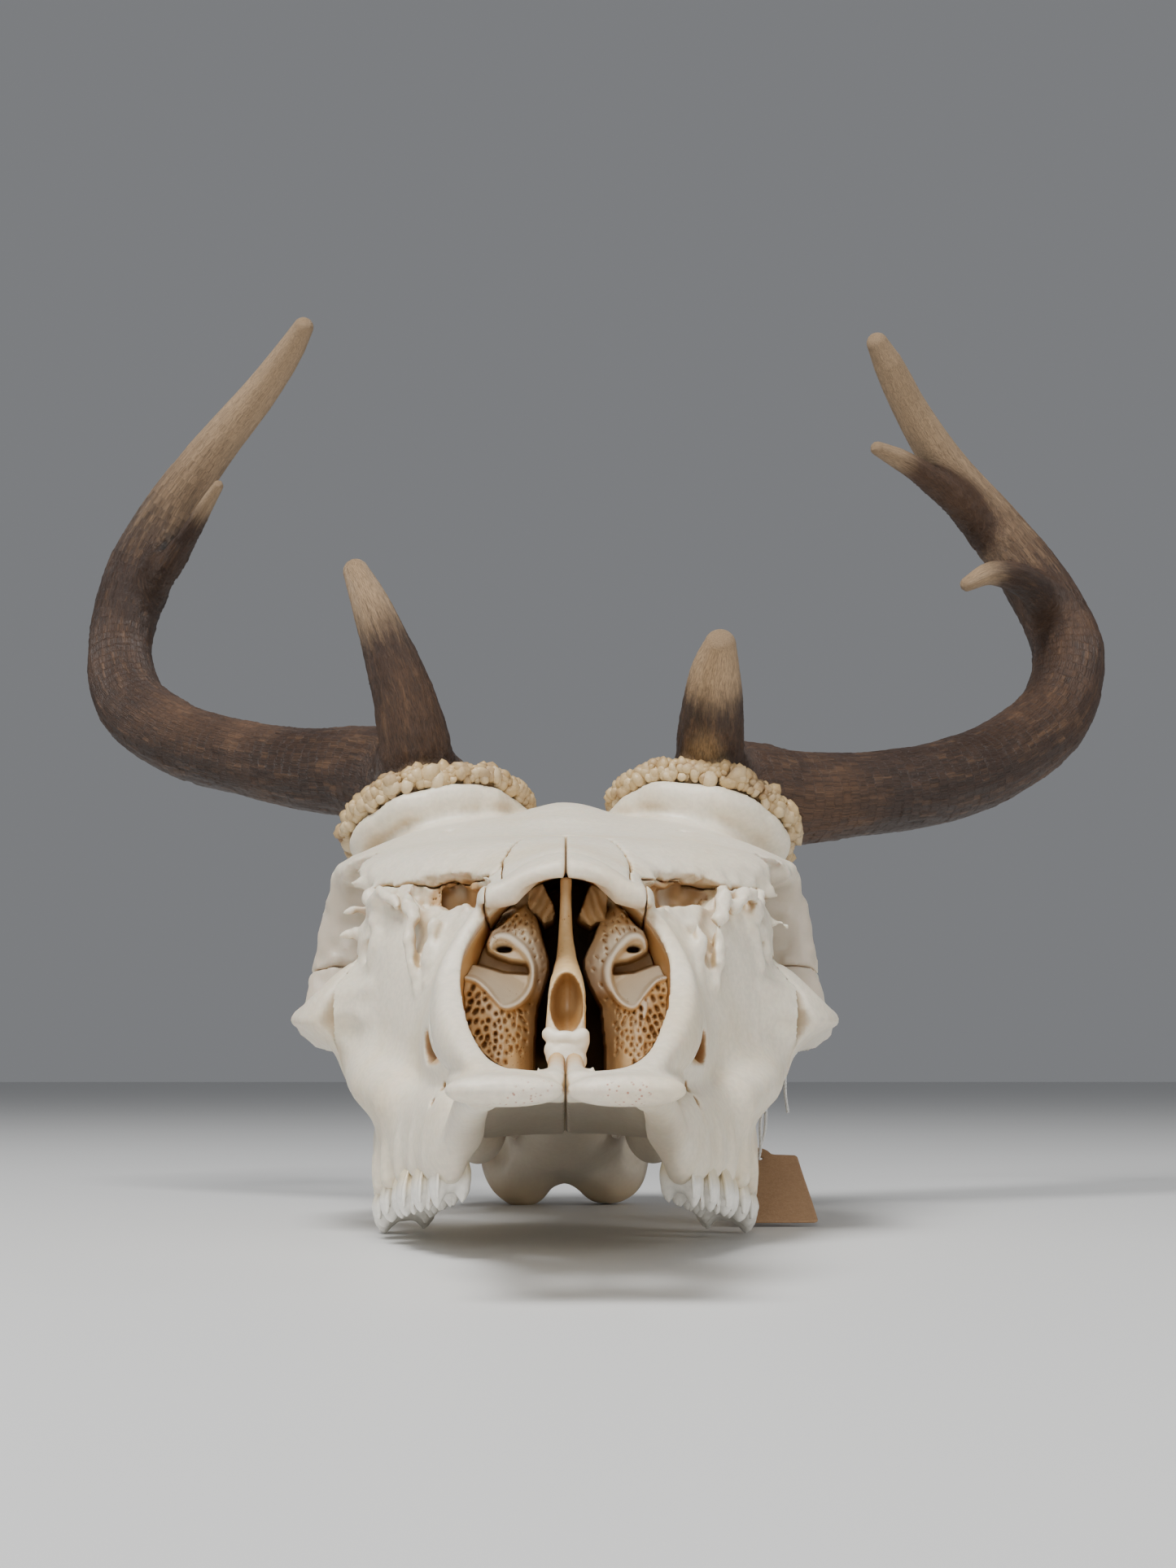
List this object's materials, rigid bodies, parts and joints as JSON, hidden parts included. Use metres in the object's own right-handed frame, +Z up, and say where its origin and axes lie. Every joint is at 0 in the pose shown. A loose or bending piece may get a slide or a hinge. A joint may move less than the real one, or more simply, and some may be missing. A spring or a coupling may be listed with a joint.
{
  "type": "white-tailed deer buck skull with antlers",
  "caption": "Life-size upper skull of a white-tailed deer buck with antlers, lying on its cheek teeth and condyles, with a plain paper tag on a string.",
  "frame": {"origin": "on the floor, under the middle of the box round the bones and antlers", "axes": "+Z up, -Y towards the nose, +X towards the animal's left side"},
  "size_m": [0.2874, 0.3306, 0.2396],
  "materials": {
    "bone": "dry cream bone, slightly waxy",
    "thin_bone": "thin amber bone inside the nose",
    "antler": "dark brown ridged antler",
    "antler_tip": "tan antler, rubbed smooth",
    "kraft_paper": "plain brown kraft paper",
    "string": "white twisted string"
  },
  "bodies": {
    "root": {"cranium": "bone", "maxilla_left": "bone", "maxilla_right": "bone", "premaxilla_left": "bone", "premaxilla_right": "bone", "nasal_left": "bone", "nasal_right": "bone", "zygomatic_left": "bone", "zygomatic_right": "bone", "vomer": "thin_bone", "ventral_turbinate_left": "thin_bone", "ventral_turbinate_right": "thin_bone", "dorsal_turbinate_left": "thin_bone", "dorsal_turbinate_right": "thin_bone", "antler_left_base": "antler", "antler_left_brow_tine": "antler", "antler_left_beam": "antler", "antler_left_hook_tine": "antler", "antler_left_tip": "antler_tip", "antler_left_upper_tine": "antler", "antler_right_base": "antler", "antler_right_brow_tine": "antler", "antler_right_beam": "antler", "antler_right_tip": "antler_tip", "antler_right_upper_tine": "antler", "tag": "kraft_paper", "tag_string": "string"}
  },
  "joints": []
}
